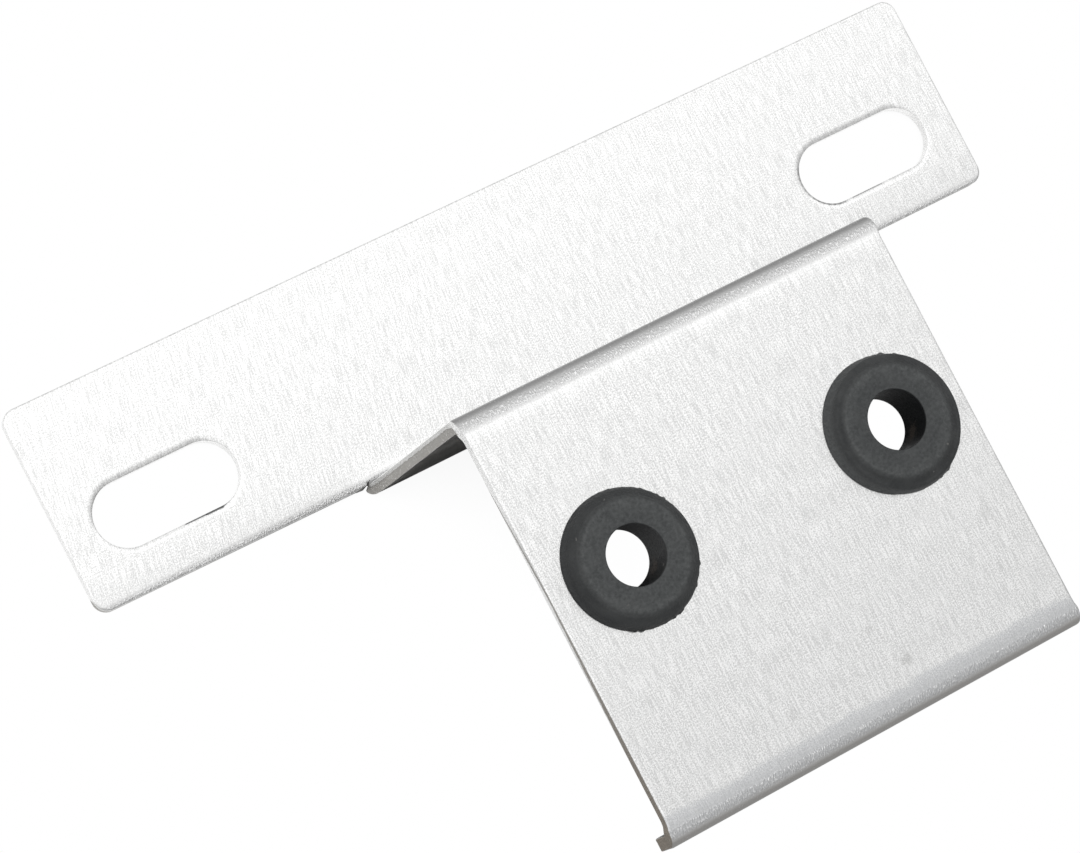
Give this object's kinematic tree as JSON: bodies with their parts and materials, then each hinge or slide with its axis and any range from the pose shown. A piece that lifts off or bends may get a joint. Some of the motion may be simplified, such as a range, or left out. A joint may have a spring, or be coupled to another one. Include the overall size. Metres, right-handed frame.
{
  "type": "coolant bottle bracket",
  "caption": "Folded aluminium bracket: a slotted mounting strip, a deep web and a lipped front plate that carries rubber grommets for a bottle's pegs.",
  "frame": {"origin": "middle of the two slots, on the strip's mounting face", "axes": "+X along the strip, +Y towards the strip's far edge, away from the front plate, +Z out of the mounting face, towards the front plate"},
  "size_m": [0.1466, 0.0904, 0.0498],
  "materials": {
    "sheet": "fine brushed, across the strip",
    "grommet": "matt moulded"
  },
  "bodies": {
    "root": {"bracket": "sheet", "left_grommet": "grommet", "right_grommet": "grommet"}
  },
  "joints": []
}
